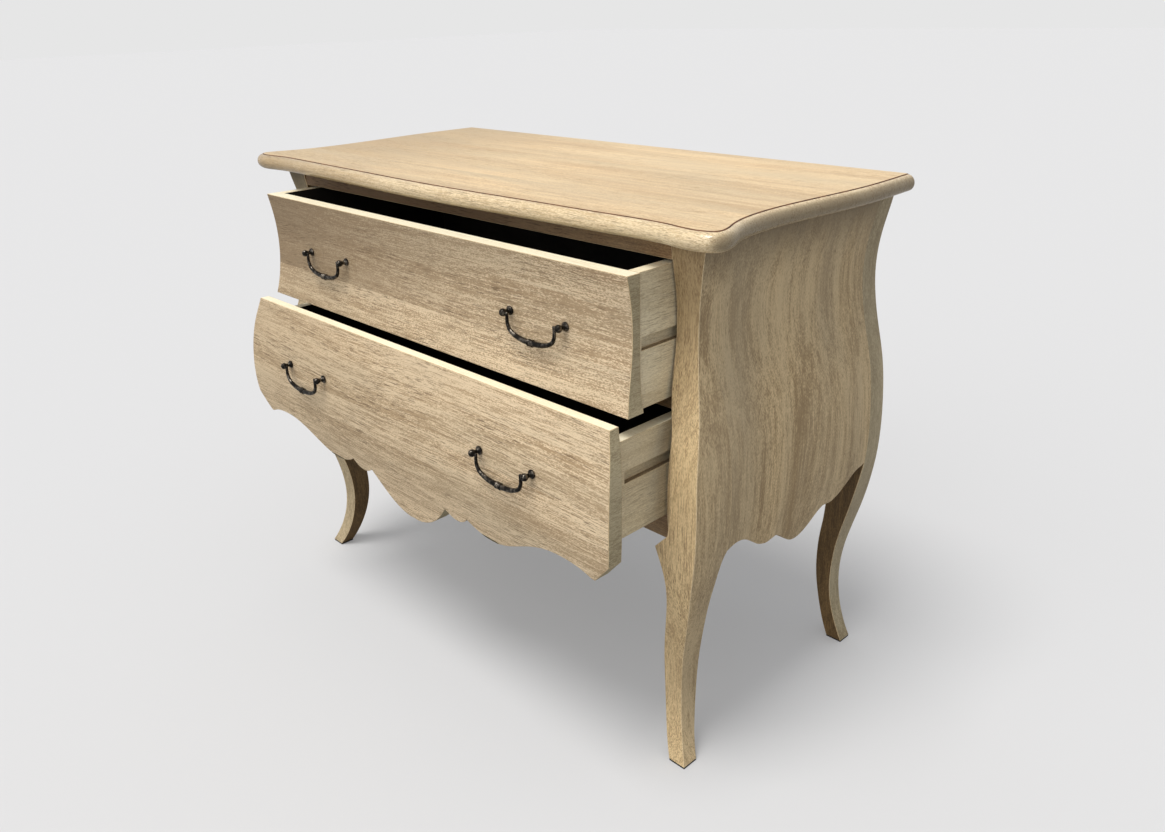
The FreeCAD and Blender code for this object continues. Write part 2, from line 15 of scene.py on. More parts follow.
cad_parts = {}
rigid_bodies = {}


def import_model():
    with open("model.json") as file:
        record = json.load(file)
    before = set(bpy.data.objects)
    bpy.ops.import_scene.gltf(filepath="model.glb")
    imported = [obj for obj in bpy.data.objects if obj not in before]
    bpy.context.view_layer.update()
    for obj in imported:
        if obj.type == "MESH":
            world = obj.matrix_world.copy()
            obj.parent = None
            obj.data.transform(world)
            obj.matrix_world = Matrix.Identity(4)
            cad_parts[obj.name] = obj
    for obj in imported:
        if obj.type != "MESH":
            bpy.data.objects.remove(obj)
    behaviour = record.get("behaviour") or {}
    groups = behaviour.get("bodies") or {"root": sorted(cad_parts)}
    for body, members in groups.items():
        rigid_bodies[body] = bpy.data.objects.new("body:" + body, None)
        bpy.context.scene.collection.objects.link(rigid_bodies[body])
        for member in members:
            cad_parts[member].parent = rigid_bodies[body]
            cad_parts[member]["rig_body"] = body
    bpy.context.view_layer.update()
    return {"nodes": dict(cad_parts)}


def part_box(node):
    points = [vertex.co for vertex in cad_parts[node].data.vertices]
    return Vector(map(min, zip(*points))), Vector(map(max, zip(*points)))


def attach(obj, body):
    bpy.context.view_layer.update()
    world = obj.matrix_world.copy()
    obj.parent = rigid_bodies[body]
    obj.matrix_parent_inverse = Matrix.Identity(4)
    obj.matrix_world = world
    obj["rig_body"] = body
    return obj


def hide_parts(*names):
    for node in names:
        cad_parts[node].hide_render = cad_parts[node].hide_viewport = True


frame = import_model()
nodes = frame["nodes"]

# %% [markdown]
# ## Camera
# The chest is seen from its right front corner and a little from above. A camera can be aimed with a
# constraint, but here its place and three angles are written down and its axes follow from them, so it
# stays where it is put.

# %% Camera
eye = Vector((1.17602, -1.01245, 1.03552))
turn, tip, lean = math.radians(46.115), math.radians(23.190), math.radians(-1.603)
sight = Vector((-math.sin(turn) * math.cos(tip), math.cos(turn) * math.cos(tip), -math.sin(tip)))
level_right = Vector((math.cos(turn), math.sin(turn), 0))
level_up = level_right.cross(sight)
right = level_right * math.cos(lean) + level_up * math.sin(lean)
up = level_up * math.cos(lean) - level_right * math.sin(lean)

camera_data = bpy.data.cameras.new("camera")
camera_data.sensor_fit = "HORIZONTAL"
camera_data.sensor_width = 36.0
camera_data.lens = 29.79
camera_data.clip_start = 0.05
camera_data.clip_end = 60.0
camera = bpy.data.objects.new("camera", camera_data)
bpy.context.scene.collection.objects.link(camera)
axes = Matrix((right, up, -sight)).transposed().to_4x4()
camera.matrix_world = Matrix.Translation(eye) @ axes
bpy.context.scene.camera = camera
print("camera", [round(v, 3) for v in camera.location])

# %% [markdown]
# ## Arithmetic in a material
# A wood finish is mostly sums: stripes plus streaks, times pores. In the node editor each sum is a Math
# node. This class lets the script write them as ordinary expressions, and its node() adds any other node.


# %% Arithmetic in a material
class Tone:
    """A socket in a node tree. Sums with it add Math nodes, and node() adds any other node."""

    def __init__(self, tree, socket=None):
        self.tree = tree
        self.socket = socket

    def put(self, socket, value):
        """Links another tone into a socket, or sets a plain value on it."""
        if isinstance(value, Tone):
            self.tree.links.new(value.socket, socket)
        elif value is not None:
            socket.default_value = value

    def node(self, kind, settings=None, out=0, **sockets):
        made = self.tree.nodes.new(kind)
        for name, value in (settings or {}).items():
            setattr(made, name, value)
        for name, value in sockets.items():
            found = [s for s in made.inputs if name in (s.identifier, s.name.replace(" ", "_"))]
            self.put(found[0], value)
        named = [s for s in made.outputs if out in (s.identifier, s.name)]
        return Tone(self.tree, named[0] if named else made.outputs[out])

    def sum(self, operation, a, b=None, clamp=False):
        made = self.tree.nodes.new("ShaderNodeMath")
        made.operation = operation
        made.use_clamp = clamp
        self.put(made.inputs[0], a)
        self.put(made.inputs[1], b)
        return Tone(self.tree, made.outputs[0])

    def __add__(self, other):
        return self.sum("ADD", self, other)

    def __radd__(self, other):
        return self.sum("ADD", other, self)

    def __sub__(self, other):
        return self.sum("SUBTRACT", self, other)

    def __rsub__(self, other):
        return self.sum("SUBTRACT", other, self)

    def __mul__(self, other):
        return self.sum("MULTIPLY", self, other)

    def __rmul__(self, other):
        return self.sum("MULTIPLY", other, self)

    def held(self):
        """The same value, kept between 0 and 1."""
        return self.sum("ADD", self, 0.0, clamp=True)

    def between(self, low, high):
        """0 at low, 1 at high and smooth on the way, whichever of the two is the greater."""
        eased = {"interpolation_type": "SMOOTHSTEP", "clamp": True}
        return self.node("ShaderNodeMapRange", eased, Value=self, From_Min=low, From_Max=high)


print("a tone can", [word for word in vars(Tone) if not word.startswith("_")])


# %% Colours and new finishes
def linear(red, green, blue):
    """A colour given as 0 to 255 on a screen, with the screen's curve undone, as the shader wants it."""
    shades = [v / 255 for v in (red, green, blue)]
    return (*[v / 12.92 if v <= 0.04045 else ((v + 0.055) / 1.055) ** 2.4 for v in shades], 1.0)


def mixed(share, a, b):
    """Two colours mixed by a share: 0 is all a, and 1 is all b."""
    return share.node("ShaderNodeMix", {"data_type": "RGBA"}, out="Result_Color", Factor_Float=share,
                      A_Color=a, B_Color=b)


def new_finish(name):
    """An empty material: its tree as a Tone, and its main shader."""
    material = bpy.data.materials.new(name)
    material.use_nodes = True
    return material, Tone(material.node_tree), material.node_tree.nodes["Principled BSDF"]


def feed(start, shader, **sockets):
    """Links values into the main shader, or sets them on its own sockets."""
    for name, value in sockets.items():
        start.put(shader.inputs[name.replace("_", " ")], value)


print("screen grey 230 is", round(linear(230, 230, 230)[0], 3))

# %% [markdown]
# ## Grain
# Wood is a bundle of long fibres, so whatever is seen on it is drawn out one way. A picture of wood could
# be wrapped round each board, but its seams show. A pattern in three dimensions runs through the board, so
# end grain and curved faces come out right of themselves. Every board carries a number of its own, which
# gives it its own piece of the pattern. Wide boards are glued up from narrower ones, and at a seam the tone
# steps and another piece of the pattern starts.

# %% Grain
# The turns that bring the grain to X and the width of the board to Y.
ALONG_X, UPRIGHT_X = (0, 0, 0), (-math.pi / 2, 0, 0)
ALONG_Y, ALONG_Z = (0, 0, math.pi / 2), (0, math.pi / 2, 0)
SEAM_JUMP = 3.7


def grain_place(start, grain):
    """A point's place along the grain, across the board and into it."""
    place = start.node("ShaderNodeTexCoord", out="Object")
    turned = start.node("ShaderNodeMapping", Vector=place, Rotation=grain)
    return [start.node("ShaderNodeSeparateXYZ", out=axis, Vector=turned) for axis in "XYZ"]


def glue_seams(board, wide, seams):
    """The board's number and its step in tone, past each seam, and a value that is 1 past the first one."""
    step, past_first = 0.0, 1.0
    for count, (level, shade) in enumerate(seams):
        past = wide.sum("GREATER_THAN", wide, level)
        if count == 0:
            past_first = past
        board = board + past * SEAM_JUMP
        step = past * shade + step
    return board, step, past_first


print("turns of the grain", len({ALONG_X, UPRIGHT_X, ALONG_Y, ALONG_Z}))

# %% [markdown]
# ## Limed wood
# Wood that was limed, wiped back and waxed: sandy, with broad darker bands, grey patches where the lime
# stayed, a short broken fibre and many small brown pores. One wave texture would give stripes that are too
# even. Here each of these is a noise of its own, drawn out along the grain by its own measure, and they are
# added up. One function makes every limed finish. Its bands, streaks, fibres, teeth, pores and grey say how
# strong each of them is, length draws the bands out, and wander bends them. A darker end is where it is
# full, where it ends, how deep it is and its brown: on the posts, the side panels and the rails it is painted
# shade under the top, and elsewhere only a darker tone towards one end. A painted side shade is how deep it
# is and its brown, and it darkens the faces turned sideways and takes off some of their coat. Seams are
# pairs: where a seam lies across the board, and how far the tone steps there.

# %% Limed wood
LIME_GREY = linear(176, 161, 134)
# How far each noise moves the wood between its dark and its light colour, where its own setting is 1.
BAND, STREAK, PATCH, FIBRE, TOOTH = 1.5, 1.3, 0.9, 3.0, 2.6


def limed_wood(name, grain, light, dark, pore, bands=1.0, streaks=1.0, fibres=1.0, teeth=1.0, pores=0.6,
               grey=0.4, length=1.0, wander=1.0, seams=(), darker_end=None, painted_side_shade=None, roughness=0.55, coat=0.0):
    """A limed finish. Its settings are told above."""
    material, start, shader = new_finish(name)
    along, wide, deep = grain_place(start, grain)
    board = start.node("ShaderNodeAttribute", {"attribute_name": "board"}, out="Fac")
    board, step, past_first = glue_seams(board, wide, seams)

    def cloud(run, cross, detail=2.0, rough=0.5, shift=0.0, wave=0.0):
        """Noise round 0. Run and cross are how often it changes in a metre, along the grain and across."""
        point = start.node("ShaderNodeCombineXYZ", X=along * run, Y=(wide + wave) * cross, Z=deep * cross)
        return start.node("ShaderNodeTexNoise", {"noise_dimensions": "4D"}, Vector=point, W=board + shift,
                          Scale=1.0, Detail=detail, Roughness=rough) - 0.5

    drift = cloud(run=2.4 / length, cross=6.0, detail=1.0, shift=3.0) * (0.03 * wander)
    band = cloud(run=1.8 / length, cross=21.0, detail=1.0, shift=11.0, wave=drift)
    streak = cloud(run=5.0 / length, cross=120.0, detail=3.0, rough=0.6, shift=5.0, wave=drift)
    patch = cloud(run=6.0 / length, cross=15.0, shift=7.0, wave=drift)
    fibre = cloud(run=20.0, cross=640.0, detail=1.0, rough=0.6, shift=1.0, wave=drift)
    tooth = cloud(run=300.0, cross=1000.0, detail=0.0, shift=2.0, wave=drift)
    fleck = cloud(run=50.0, cross=1200.0, detail=0.0, shift=9.0, wave=drift)
    flecked = (cloud(run=7.0, cross=24.0, detail=1.0, shift=13.0) + 0.5).between(0.34, 0.62)
    dashes = (fleck + 0.5).between(0.585, 0.69) * (flecked * 0.75 + 0.25)

    share = (0.5 + band * (BAND * bands) + streak * (STREAK * streaks) + patch * PATCH
             + fibre * (FIBRE * fibres) + tooth * (TOOTH * teeth) + step).held()
    lime_left = (patch * 2.2 + streak * 0.8 + 0.45).held()
    colour = mixed(lime_left * grey, mixed(share, dark, light), LIME_GREY)
    # Darker towards one end of the grain: painted shade on the posts, side panels and rails, only a darker
    # tone on the top and the fronts.
    if darker_end:
        first, last, depth, brown = darker_end
        near = 1.0 - along.between(first, last)
        colour = mixed(near * (depth + band * 0.8) * (past_first * 0.6 + 0.4), colour, brown)
    # Painted shade on the faces turned sideways, which also lose some of their coat.
    if painted_side_shade:
        depth, brown = painted_side_shade
        facing = start.node("ShaderNodeNewGeometry", out="Normal")
        sideways = start.node("ShaderNodeSeparateXYZ", out="X", Vector=facing)
        sideways = sideways.sum("ABSOLUTE", sideways).between(0.25, 0.9)
        colour = mixed(sideways * depth, colour, brown)
        coat = (1.0 - sideways * 0.85) * coat
    height = fibre * 0.6 + streak * 0.4 - dashes * 0.7 + tooth * 0.35
    feed(start, shader, Base_Color=mixed(dashes * pores, colour, pore), Specular_IOR_Level=0.4,
         Roughness=(roughness + streak * 0.3 + fibre * 0.3 + dashes * 0.2).held(),
         Coat_Weight=coat, Coat_Roughness=0.17,
         Normal=start.node("ShaderNodeBump", Strength=0.5, Distance=0.0005, Height=height))
    return material


print("lime grey", [round(v, 3) for v in LIME_GREY[:3]])

# %% [markdown]
# ## Woods of the top
# The field of the top is glued up from three boards, pale and satin. The rounded rim is waxed to a shine,
# so it has a coat, and painted shade darkens it where it looks sideways, where its coat is thinner too. Both
# are browner towards the left. One finish for both would lose the edge between them.

# %% Woods of the top
top_wood = limed_wood(
    "limed_top", ALONG_X, light=linear(250, 221, 175), dark=linear(205, 173, 130), pore=linear(136, 106, 74),
    streaks=1.7, fibres=0.45, teeth=0.5, pores=0.35, grey=0.55, length=1.6, roughness=0.45,
    seams=((-0.075, -0.08), (0.118, 0.10)), darker_end=(-0.52, 0.02, 0.6, linear(170, 147, 114)))
# The rim's side shade is painted shade on its sides.
rim_wood = limed_wood(
    "limed_rim", ALONG_X, light=linear(242, 220, 180), dark=linear(196, 168, 126), pore=linear(110, 86, 58),
    bands=0.5, streaks=0.8, fibres=0.35, teeth=0.6, pores=0.5, grey=0.15, roughness=0.3, coat=0.55,
    darker_end=(-0.56, 0.1, 0.75, linear(160, 135, 99)), painted_side_shade=(0.78, linear(118, 104, 80)))
print("top", top_wood.name, rim_wood.name)

# %% [markdown]
# ## Woods of the drawer fronts
# The fronts carry the grain across, with broad wandering bands that are browner towards the left. Each is
# glued up from three boards too. They could share one finish, but the lower one is more even and the upper
# one is darker towards its left end, so each has its own.

# %% Woods of the drawer fronts
front_pore = linear(86, 65, 43)
upper_wood = limed_wood(
    "limed_upper", UPRIGHT_X, light=linear(232, 209, 175), dark=linear(172, 146, 113), pore=front_pore,
    bands=1.3, streaks=1.7, fibres=1.1, teeth=1.2, length=1.5, wander=1.5,
    seams=((0.621, -0.18), (0.700, 0.06)), darker_end=(-0.50, 0.34, 0.82, linear(130, 109, 82)))
lower_wood = limed_wood(
    "limed_lower", UPRIGHT_X, light=linear(232, 208, 173), dark=linear(171, 145, 111), pore=front_pore,
    bands=1.4, streaks=2.0, fibres=1.2, teeth=0.9, pores=0.7, length=1.6, wander=1.9,
    seams=((0.452, 0.07), (0.520, -0.05)), darker_end=(-0.5, 0.45, 0.3, linear(158, 135, 104)))
print("fronts", upper_wood.name, lower_wood.name)

# %% [markdown]
# ## Woods of the frame
# Posts and legs are upright boards, darker near the top, which is painted shade under the top's rim. The
# rails between the drawers are darker, partly as painted shade, and so are the inward faces of the legs and
# the faces of the back legs that look forward, which is painted shade. The left front leg and the back legs
# are greyer than the right front one, so each has a finish of its own, where one for all would make the
# frame look moulded.

# %% Woods of the frame
post_grain = {"streaks": 1.5, "fibres": 0.9, "teeth": 0.7, "length": 1.5}
# The darker end of the posts is painted shade under the top's rim.
post_wood = limed_wood(
    "limed_post", ALONG_Z, light=linear(221, 194, 147), dark=linear(171, 143, 103), pore=linear(104, 80, 52),
    grey=0.3, darker_end=(0.80, 0.52, 0.48, linear(116, 90, 58)), **post_grain)
# The darker end of the left post is painted shade under the top's rim.
far_post_wood = limed_wood(
    "limed_left_post", ALONG_Z, light=linear(202, 182, 146), dark=linear(154, 136, 104),
    pore=linear(96, 76, 52), grey=0.5, darker_end=(0.80, 0.64, 0.9, linear(92, 82, 60)), **post_grain)
hind_wood = limed_wood(
    "limed_hind_leg", ALONG_Z, light=linear(196, 182, 148), dark=linear(148, 132, 102),
    pore=linear(92, 74, 52), streaks=1.5, fibres=0.6, teeth=0.6, pores=0.35, grey=0.6, length=2.0)
# Painted shade: the dark finish of the legs' inward faces and of the back legs' faces that look forward.
painted_shade_wood = limed_wood(
    "limed_inward", ALONG_Z, light=linear(132, 105, 67), dark=linear(88, 67, 39), pore=linear(56, 42, 26),
    fibres=0.6, teeth=0.5, pores=0.4, grey=0.0)
# The darker end of the side panels is painted shade under the top's overhang.
panel_wood = limed_wood(
    "limed_panel", ALONG_Z, light=linear(220, 194, 150), dark=linear(156, 130, 92), pore=linear(92, 72, 48),
    bands=1.4, streaks=1.9, fibres=0.6, teeth=0.6, pores=0.35, grey=0.55, length=2.4, wander=3.6,
    darker_end=(0.79, 0.69, 0.75, linear(112, 98, 75)))
# Darker than the posts, partly as painted shade; its darker end is painted shade from the top's rim, over the
# left and the middle of the rails.
rail_wood_and_shade = limed_wood(
    "limed_rail", ALONG_X, light=linear(186, 150, 106), dark=linear(126, 96, 64), pore=linear(54, 38, 26),
    fibres=0.5, teeth=0.5, darker_end=(0.02, 0.46, 0.8, linear(106, 80, 54)))
print("frame", [m.name for m in (post_wood, far_post_wood, hind_wood, painted_shade_wood, panel_wood, rail_wood_and_shade)])

# %% [markdown]
# ## Woods of the boxes and the back
# The boxes of the drawers are a paler, plainer wood, and the ends of the fronts are matt and darker than
# the boxes; on the undersides of the fronts the same finish is painted shade, and so is the darker finish
# of the groove walls in the drawer sides. The top edges of the drawers were left bare, so they are nearly
# white, and an eased edge is painted paler than its faces, partly as wear of the finish and partly as
# painted highlight. The same function makes all of these with weaker noises.

# %% Woods of the boxes and the back
# On the ends of the fronts this is end grain, on their undersides it is painted shade.
end_grain = limed_wood(
    "end_grain", ALONG_Y, light=linear(188, 176, 144), dark=linear(148, 134, 104), pore=linear(104, 86, 62),
    bands=0.5, fibres=0.4, teeth=0.8, pores=0.4, roughness=0.7)
box_wood = limed_wood(
    "box_side", ALONG_Y, light=linear(247, 235, 203), dark=linear(206, 190, 156), pore=linear(132, 110, 82),
    streaks=0.9, fibres=0.4, teeth=0.5, pores=0.45, roughness=0.65)
box_back_wood = limed_wood(
    "box_back", ALONG_X, light=linear(220, 205, 170), dark=linear(174, 156, 122), pore=linear(118, 98, 70),
    streaks=0.9, fibres=0.4, teeth=0.5, pores=0.4, roughness=0.65)
# Painted shade on the groove walls in the drawer sides.
painted_groove_shade = limed_wood(
    "groove", ALONG_Y, light=linear(150, 130, 100), dark=linear(104, 84, 60), pore=linear(60, 46, 32),
    fibres=0.4, roughness=0.7)
back_wood = limed_wood(
    "back_sheet", ALONG_Z, light=linear(190, 166, 130), dark=linear(146, 120, 90), pore=linear(96, 74, 52),
    bands=1.4, streaks=0.9, fibres=0.3, pores=0.4, length=1.5, wander=2.0, roughness=0.7)
bare_edge = limed_wood(
    "bare_edge", ALONG_X, light=linear(255, 249, 224), dark=linear(240, 225, 190), pore=linear(200, 174, 134),
    bands=0.5, streaks=0.6, fibres=0.3, teeth=0.4, pores=0.3, grey=0.1, roughness=0.6)
# Partly wear of the finish, partly painted highlight along the eased edges.
worn_edge = limed_wood(
    "worn_edge", ALONG_Z, light=linear(228, 206, 166), dark=linear(190, 165, 125), pore=linear(150, 122, 88),
    streaks=0.8, fibres=0.4, teeth=0.6, pores=0.5, grey=0.3, roughness=0.5)
print("boxes and back", end_grain.name, box_wood.name, box_back_wood.name, painted_groove_shade.name, back_wood.name)
print("edges", bare_edge.name, worn_edge.name)

# %% [markdown]
# ## Black inside, iron, plastic
# The insides of the drawers and of the case are painted nearly black, as painted shade inside them. The pulls
# are cast iron, blackened and waxed, and a little lighter in spots, which are partly wear and partly painted
# highlight. The glides are plain moulded plastic.
# None of them has a grain, so two round noises are enough: soft spots of a second colour, and a fine tooth.


# %% Black inside, iron, plastic
def spotted(name, one, other, spots, tooth, roughness, metallic=0.0, distance=0.0003, spread=(0.3, 0.7)):
    """A finish of two colours in soft spots, with a fine tooth. Spots and tooth are counts in a metre."""
    material, start, shader = new_finish(name)
    place = start.node("ShaderNodeTexCoord", out="Object")
    spot = start.node("ShaderNodeTexNoise", Vector=place, Scale=spots, Detail=3.0)
    fine = start.node("ShaderNodeTexNoise", Vector=place, Scale=tooth, Detail=2.0)
    # Share of the second colour; on the iron it is partly painted highlight.
    second_colour_share = spot.between(*spread)
    height = spot * 0.7 + fine * 0.3
    feed(start, shader, Base_Color=mixed(second_colour_share, one, other), Metallic=metallic,
         Roughness=roughness + (fine - 0.5) * 0.25 - second_colour_share * 0.08,
         Normal=start.node("ShaderNodeBump", Strength=0.5, Distance=distance, Height=height))
    return material


# Painted shade: near black on the faces inside the drawers and the case.
inside_black = spotted("inside_black", linear(24, 20, 15), linear(44, 37, 29), 9.0, 420.0, 0.75)
# The iron's lighter spots are partly wear and partly painted highlight.
iron = spotted("black_iron", linear(30, 27, 23), linear(104, 97, 88), 170.0, 900.0, 0.24, metallic=0.85,
               distance=0.0012, spread=(0.46, 0.66))
plastic = spotted("glide_plastic", linear(18, 18, 19), linear(32, 31, 31), 40.0, 900.0, 0.55)
# Painted shade: the dark brown of the line round the top.
quirk_brown = spotted("quirk_brown", linear(68, 38, 18), linear(110, 68, 36), 60.0, 700.0, 0.7)
steel = spotted("screw_steel", linear(120, 116, 108), linear(168, 164, 156), 300.0, 1500.0, 0.4, metallic=0.9)
print("other finishes", inside_black.name, iron.name, plastic.name, quirk_brown.name, steel.name)

# %% [markdown]
# ## Boards
# The frame's boards are loose triangles with knife-sharp edges. Real ones are eased with sandpaper, and the
# eased edge is painted paler: partly wear of the finish, partly painted highlight. Each board is copied, its
# triangles are joined, and a small bevel takes the edges down. Edges in a glued joint stay sharp, because
# the boards were sanded as one. A curved skin is taken out and put back as even level strips, which also
# closes the screw holes in it, so that it shades without creases. It could be sculpted smooth instead, but
# then it would leave the solid's shape.

# %% Even strips
STRIP = 0.006  # height of a strip
ON_PLANE = 0.0003  # a corner this close to a fold is taken as lying on it


def even_strips(work, in_skin):
    """Puts one new face in place of a curved skin, and folds it level every so often."""
    bmesh.ops.delete(work, geom=[f for f in work.faces if in_skin(f)], context="FACES")
    rims = [e for e in work.edges if e.is_boundary]
    bmesh.ops.holes_fill(work, edges=rims, sides=0)
    bmesh.ops.recalc_face_normals(work, faces=work.faces)
    low, high = min(v.co.z for v in work.verts), max(v.co.z for v in work.verts)
    for k in range(1, int((high - low) / STRIP) + 1):
        skin = [f for f in work.faces if in_skin(f)]
        around = {e for f in skin for e in f.edges} | {v for f in skin for v in f.verts}
        bmesh.ops.bisect_plane(work, geom=skin + list(around), dist=ON_PLANE,
                               plane_co=(0, 0, low + k * STRIP), plane_no=(0, 0, 1))


print("strips of", STRIP, "m")

# %% Joined copies
SAME_PLACE = 3e-6  # corners this close are one
SAME_PLANE = math.radians(0.03)  # faces that meet this flatly are one
SHARP = math.radians(30)  # edges sharper than this are eased, unless they lie in a joint
HAIR = 1e-6  # less than this is nothing


def joined_copy(node, cuts=(), skin=None, in_joint=None):
    """The frame's board as one closed skin, with a bevel weight on every edge that gets eased."""
    work = bmesh.new()
    work.from_mesh(nodes[node].data)
    bmesh.ops.remove_doubles(work, verts=work.verts, dist=SAME_PLACE)
    bmesh.ops.dissolve_limit(work, angle_limit=SAME_PLANE, verts=work.verts, edges=work.edges)
    if skin:
        even_strips(work, skin)
    for x in cuts:
        bmesh.ops.bisect_plane(work, geom=work.verts[:] + work.edges[:] + work.faces[:], dist=HAIR,
                               plane_co=(x, 0, 0), plane_no=(1, 0, 0))
    weight = work.edges.layers.float.new("bevel_weight_edge")
    for edge in work.edges:
        if len(edge.link_faces) == 2 and edge.calc_face_angle(0.0) > SHARP:
            ends = [v.co for v in edge.verts]
            if not (in_joint and in_joint(ends[0]) and in_joint(ends[1])):
                edge[weight] = 1.0
    mesh = bpy.data.meshes.new(node + "_skin")
    work.to_mesh(mesh)
    work.free()
    for name in ("custom_normal", "sharp_edge", "sharp_face"):
        if name in mesh.attributes:
            mesh.attributes.remove(mesh.attributes[name])
    return mesh


print("edges are eased past", round(math.degrees(SHARP)), "degrees")


# %% Finished boards
def add_piece(name, mesh, body, slot, *replaced):
    """A new piece that rides on a body, in place of the frame's nodes that it replaces."""
    piece = bpy.data.objects.new(name, mesh)
    bpy.context.scene.collection.objects.link(piece)
    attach(piece, body)
    if replaced:
        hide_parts(*replaced)
    return piece


boards = []
BOARD_JUMP = 5.37  # how far apart two boards lie in the noise


def dress(node, slot, finishes, rule=None, cuts=(), eased=0.0008, skin=None, in_joint=None):
    """A finished board in place of the frame's. The first finish is the main one, the last the eased edge."""
    boards.append(node)
    mesh = joined_copy(node, cuts, skin, in_joint)
    for finish in finishes:
        mesh.materials.append(finish)
    number = mesh.attributes.new("board", "FLOAT", "POINT")
    number.data.foreach_set("value", [len(boards) * BOARD_JUMP] * len(mesh.vertices))
    for face in mesh.polygons:
        face.use_smooth = True
        face.material_index = rule(face.center, face.normal) if rule else 0
    mesh.set_sharp_from_angle(angle=SHARP)
    piece = add_piece(node + "_board", mesh, nodes[node]["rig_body"], slot, node)
    if eased:
        bevel = piece.modifiers.new("eased_edges", "BEVEL")
        bevel.width = eased
        bevel.segments = 2
        bevel.limit_method = "WEIGHT"
        bevel.material = len(finishes) - 1
        bevel.harden_normals = True
        bevel.use_clamp_overlap = False
        weights = piece.modifiers.new("even_shading", "WEIGHTED_NORMAL")
        weights.keep_sharp = True
    return piece


print("boards so far", len(boards))

# %% [markdown]
# ## Legs and side panels
# A front leg is post and leg in one piece, and the swelling side panel is glued between it and the back
# leg. Each board has several finishes. They could be painted on face by face in edit mode, but a rule that
# looks at where a face lies and which way it looks gives the same answer on both sides of the chest.

# %% Legs and side panels
SQUARE = 0.9  # a face whose normal has more than this along an axis looks along it
MOSTLY = 0.6  # and with more than this it looks mostly along it
GLIDE_GROWTH = 1.13  # how much wider than the frame's the glides are made
ON_LINE = 0.0006  # a corner this close to a panel's edge lies on it


def side_rules(side):
    """For one side of the chest: what lies in a joint, what is skin, and each board's finishes."""
    sign = 1 if side == "right" else -1
    low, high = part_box("side_panel_" + side)

    def beside_panel(point):
        """True on the two planes where the side panel meets the legs."""
        beside = min(abs(point.y - low.y), abs(point.y - high.y)) < ON_LINE
        return beside and point.z > low.z - 0.001

    def outer_skin(face):
        return face.normal.x * sign > 0.25 and abs(face.normal.y) < 0.3

    # Inner faces of the panel get the near-black painted shade.
    def panel(centre, normal):
        return 1 if normal.x * sign < -MOSTLY else 0

    # Outward faces get the panel's finish, inward ones the dark finish, which is painted shade.
    def front_leg(centre, normal):
        if normal.x * sign > 0.45 and abs(normal.y) < MOSTLY:
            return 1
        return 2 if normal.x * sign < -MOSTLY else 0

    # The faces of the back legs that look forward get the same painted shade.
    def back_leg(centre, normal):
        return 2 if normal.y < -0.5 else front_leg(centre, normal)

    return beside_panel, outer_skin, panel, front_leg, back_leg


for side, front_wood in (("right", post_wood), ("left", far_post_wood)):
    beside_panel, outer_skin, panel, front_leg, back_leg = side_rules(side)
    dress("front_leg_" + side, "frame_wood", [front_wood, panel_wood, painted_shade_wood, worn_edge], front_leg,
          in_joint=beside_panel)
    dress("back_leg_" + side, "frame_wood", [post_wood, hind_wood, painted_shade_wood, worn_edge], back_leg,
          in_joint=beside_panel)
    dress("side_panel_" + side, "panel_wood", [panel_wood, inside_black, worn_edge], panel, eased=0.0005,
          skin=outer_skin, in_joint=beside_panel)
    for name in ("top_cleat_", "upper_runner_", "lower_runner_"):
        dress(name + side, "inner_wood", [box_wood, worn_edge], eased=0.0005)
    # The glides are a little wider than the frame's, so that their dark edges show under the feet.
    for end in ("front", "back"):
        glide = dress(f"foot_glide_{end}_{side}", "glide_plastic", [plastic], eased=0.0)
        corners = glide.data.vertices
        middle = sum((v.co for v in corners), Vector()) / len(corners)
        for v in corners:
            v.co.xy = middle.xy + (v.co.xy - middle.xy) * GLIDE_GROWTH
print("side boards", len(boards))

# %% [markdown]
# ## Rails and back
# Three rails run across the front and two across the back, and one thin panel closes the back. Each has the
# near-black painted shade only on the face that looks into the case, so two short rules do for all of them.


# %% Rails and back
# Painted shade: near black on the faces that look into the case.
def painted_shade_behind(centre, normal):
    return 1 if normal.y > SQUARE else 0


def painted_shade_before(centre, normal):
    return 1 if normal.y < -SQUARE else 0


for name in ("front_top_rail", "divider_rail", "front_bottom_rail"):
    dress(name, "frame_wood", [rail_wood_and_shade, inside_black, worn_edge], painted_shade_behind, eased=0.0006)
for name in ("back_top_rail", "back_bottom_rail"):
    dress(name, "inner_wood", [box_back_wood, inside_black, worn_edge], painted_shade_before, eased=0.0006)
dress("back_panel", "back_board", [back_wood, inside_black, worn_edge], painted_shade_before, eased=0.0005)
print("case boards", len(boards))

# %% [markdown]
# ## Top board
# The top is one thick board whose edge is rounded all round. Its flat field, its rounded rim and its
# underside have finishes of their own. The rounding is already in the solid, so no edge of it needs easing.

# %% Top board
field_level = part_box("top_board")[1].z
field_depth = 0.0003  # a face no deeper than this below the field belongs to it


def field_or_rim(centre, normal):
    # The underside gets the darker rail finish, partly painted shade.
    if normal.z < -0.95:
        return 2
    return 0 if centre.z > field_level - field_depth else 1


top_piece = dress("top_board", "top_wood", [top_wood, rim_wood, rail_wood_and_shade], field_or_rim, eased=0.0)
print("top field at", round(field_level, 4))

# %% [markdown]
# ## Drawers
# The fronts carry the grain across, the sides carry it front to back, and the top edges of both are left
# bare, so they are nearly white. Inside, everything is painted near black as painted shade. A front is cut
# where the sides meet it, because the painted shade ends there. Its face is made anew in even strips, and
# its pulls cover the places of the screw holes.

